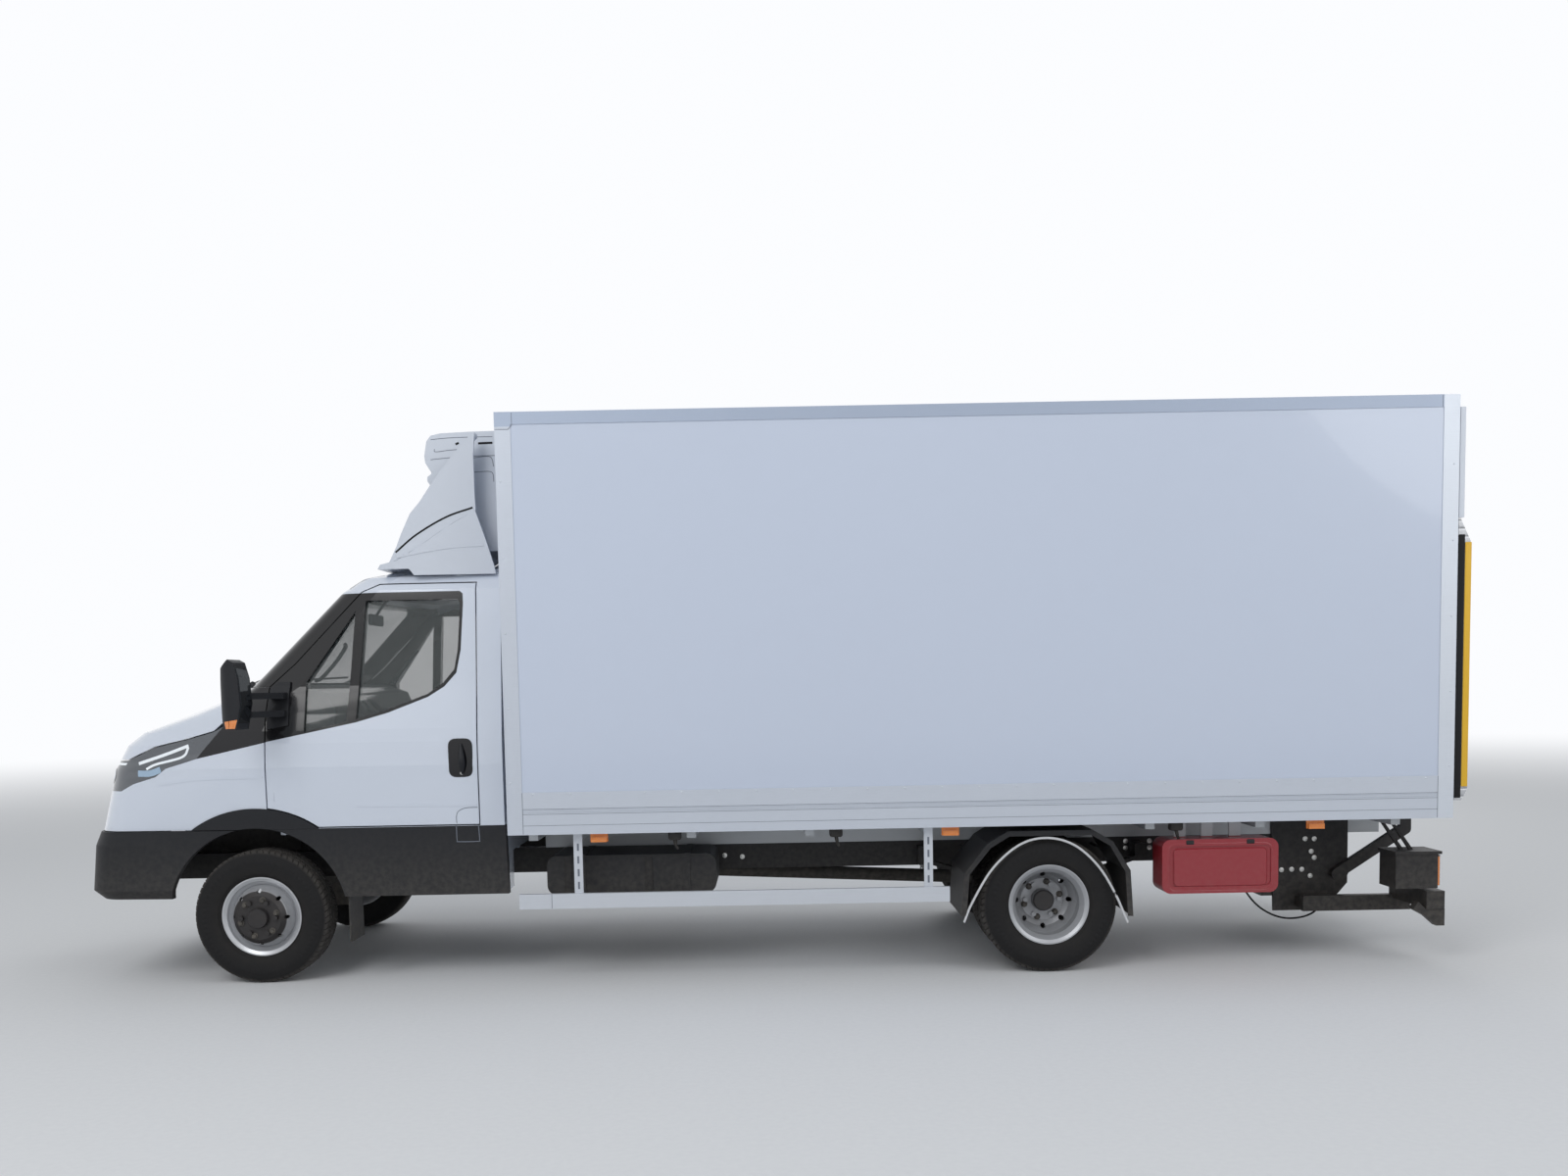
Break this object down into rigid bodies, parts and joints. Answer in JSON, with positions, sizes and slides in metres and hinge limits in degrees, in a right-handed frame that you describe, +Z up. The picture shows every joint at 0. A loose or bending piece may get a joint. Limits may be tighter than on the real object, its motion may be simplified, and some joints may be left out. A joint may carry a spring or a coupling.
{
  "type": "refrigerated truck",
  "caption": "Light refrigerated box truck with bonneted cab, roof cooling unit, insulated box body, twin rear wheels and a folded tail lift across the rear.",
  "frame": {"origin": "on the ground, in the middle of the overall length and width", "axes": "+X towards the front, +Y to the driver's left, +Z up"},
  "size_m": [7.6298, 2.69, 3.062],
  "materials": {
    "body_white": "gloss paint",
    "frame_black": "satin paint",
    "bare_aluminium": "extruded and anodised",
    "dark_plastic": "grained",
    "gloss_black": "smooth",
    "glazing": "clear with a grey tint",
    "lamp_lens": "clear",
    "amber_lens": "clear",
    "tyre_rubber": "moulded",
    "wheel_silver": "satin paint",
    "cast_grey": "as cast",
    "zinc_grey": "satin paint",
    "case_red": "smooth",
    "platform_metal": "ribbed",
    "seat_cloth": "woven",
    "cabin_plastic": "grained",
    "moulded_white": "smooth"
  },
  "bodies": {
    "chassis": {"headlamps": "lamp_lens", "scuttle": "gloss_black", "front_wings": "body_white", "grille": "gloss_black", "windscreen": "glazing", "cab_shell": "body_white", "front_bumper": "dark_plastic", "cab_cladding": "dark_plastic", "dashboard": "cabin_plastic", "steering_wheel": "cabin_plastic", "seats": "seat_cloth", "roof_deflector": "moulded_white", "fridge_unit": "moulded_white", "box_floor": "platform_metal", "box_side_walls": "moulded_white", "box_roof": "moulded_white", "box_front_wall": "moulded_white", "box_edge_profiles": "bare_aluminium", "rear_frame": "zinc_grey", "frame_rails": "frame_black", "frame_crossmembers": "frame_black", "subframe": "zinc_grey", "floor_bearers": "zinc_grey", "front_suspension": "cast_grey", "rear_axle": "cast_grey", "leaf_springs": "frame_black", "drive_train": "cast_grey", "exhaust": "cast_grey", "fuel_tank": "dark_plastic", "side_guards": "bare_aluminium", "mudguards": "dark_plastic", "extinguisher_box": "case_red", "body_lamps": "amber_lens", "tail_lift_frame": "frame_black", "underrun_bar": "frame_black"},
    "cab_door_left": {"door_left": "body_white", "door_glass_left": "glazing", "mirror_left": "dark_plastic"},
    "hub_carrier_left": {"knuckle_left": "cast_grey"},
    "front_wheel_left": {"front_tyre_left": "tyre_rubber", "front_rim_left": "wheel_silver"},
    "rear_wheels_left": {"rear_tyres_left": "tyre_rubber", "rear_rims_left": "wheel_silver"},
    "cab_door_right": {"door_right": "body_white", "door_glass_right": "glazing", "mirror_right": "dark_plastic"},
    "hub_carrier_right": {"knuckle_right": "cast_grey"},
    "front_wheel_right": {"front_tyre_right": "tyre_rubber", "front_rim_right": "wheel_silver"},
    "rear_wheels_right": {"rear_tyres_right": "tyre_rubber", "rear_rims_right": "wheel_silver"},
    "bonnet_lid": {"bonnet": "body_white"},
    "box_flap": {"top_flap": "moulded_white"},
    "arm_pair": {"lift_arms": "frame_black"},
    "hinge_tube": {"lift_hinge_tube": "frame_black"},
    "platform": {"lift_platform": "platform_metal"},
    "cylinder_barrels": {"lift_barrels": "frame_black"},
    "cylinder_rods": {"lift_rods": "wheel_silver"}
  },
  "joints": [
    {"name": "steer_left", "type": "hinge", "parent": "chassis", "child": "hub_carrier_left", "pos_m": [2.775, 0.715, 0.372], "axis": [0, 0, 1], "range_deg": [-35, 35]},
    {"name": "spin_front_left", "type": "hinge", "parent": "hub_carrier_left", "child": "front_wheel_left", "pos_m": [2.775, 0.862, 0.372], "axis": [0, 1, 0], "continuous": true},
    {"name": "spin_rear_left", "type": "hinge", "parent": "chassis", "child": "rear_wheels_left", "pos_m": [-1.575, 0.9555, 0.372], "axis": [0, 1, 0], "continuous": true},
    {"name": "door_hinge_left", "type": "hinge", "parent": "chassis", "child": "cab_door_left", "pos_m": [2.655, 0.99, 1.12], "axis": [0, 0, -1], "range_deg": [0, 70]},
    {"name": "steer_right", "type": "hinge", "parent": "chassis", "child": "hub_carrier_right", "pos_m": [2.775, -0.715, 0.372], "axis": [0, 0, 1], "range_deg": [-35, 35]},
    {"name": "spin_front_right", "type": "hinge", "parent": "hub_carrier_right", "child": "front_wheel_right", "pos_m": [2.775, -0.862, 0.372], "axis": [0, 1, 0], "continuous": true},
    {"name": "spin_rear_right", "type": "hinge", "parent": "chassis", "child": "rear_wheels_right", "pos_m": [-1.575, -0.9555, 0.372], "axis": [0, 1, 0], "continuous": true},
    {"name": "door_hinge_right", "type": "hinge", "parent": "chassis", "child": "cab_door_right", "pos_m": [2.655, -0.99, 1.12], "axis": [0, 0, 1], "range_deg": [0, 70]},
    {"name": "bonnet_hinge", "type": "hinge", "parent": "chassis", "child": "bonnet_lid", "pos_m": [2.853, 0, 1.596], "axis": [0, -1, 0], "range_deg": [0, 50]},
    {"name": "flap_hinge", "type": "hinge", "parent": "chassis", "child": "box_flap", "pos_m": [-3.773, 0, 3.01], "axis": [0, 1, 0], "range_deg": [0, 95]},
    {"name": "arm_pivot", "type": "hinge", "parent": "chassis", "child": "arm_pair", "pos_m": [-3.384, 0, 0.431], "axis": [0, 1, 0], "range_deg": [-82, 0]},
    {"name": "tube_level", "type": "hinge", "parent": "arm_pair", "child": "hinge_tube", "pos_m": [-3.781, 0, 0.868], "axis": [0, 1, 0], "range_deg": [0, 82]},
    {"name": "platform_tilt", "type": "hinge", "parent": "hinge_tube", "child": "platform", "pos_m": [-3.781, 0, 0.868], "axis": [0, -1, 0], "range_deg": [0, 92]},
    {"name": "barrel_pivot", "type": "hinge", "parent": "chassis", "child": "cylinder_barrels", "pos_m": [-3.075, 0, 0.33], "axis": [0, 1, 0], "range_deg": [-17.9, 0]},
    {"name": "rod_stroke", "type": "slide", "parent": "cylinder_barrels", "child": "cylinder_rods", "axis": [-0.9887, 0, 0.1501], "range_m": [-0.15899, 0]}
  ],
  "couplings": [
    {"joint": "steer_right", "follows": "steer_left", "ratio": 1},
    {"joint": "tube_level", "follows": "arm_pivot", "ratio": -1},
    {"joint": "barrel_pivot", "follows": "arm_pivot", "ratio": 0.21825},
    {"joint": "rod_stroke", "follows": "arm_pivot", "m_per_rad": 0.11109}
  ]
}
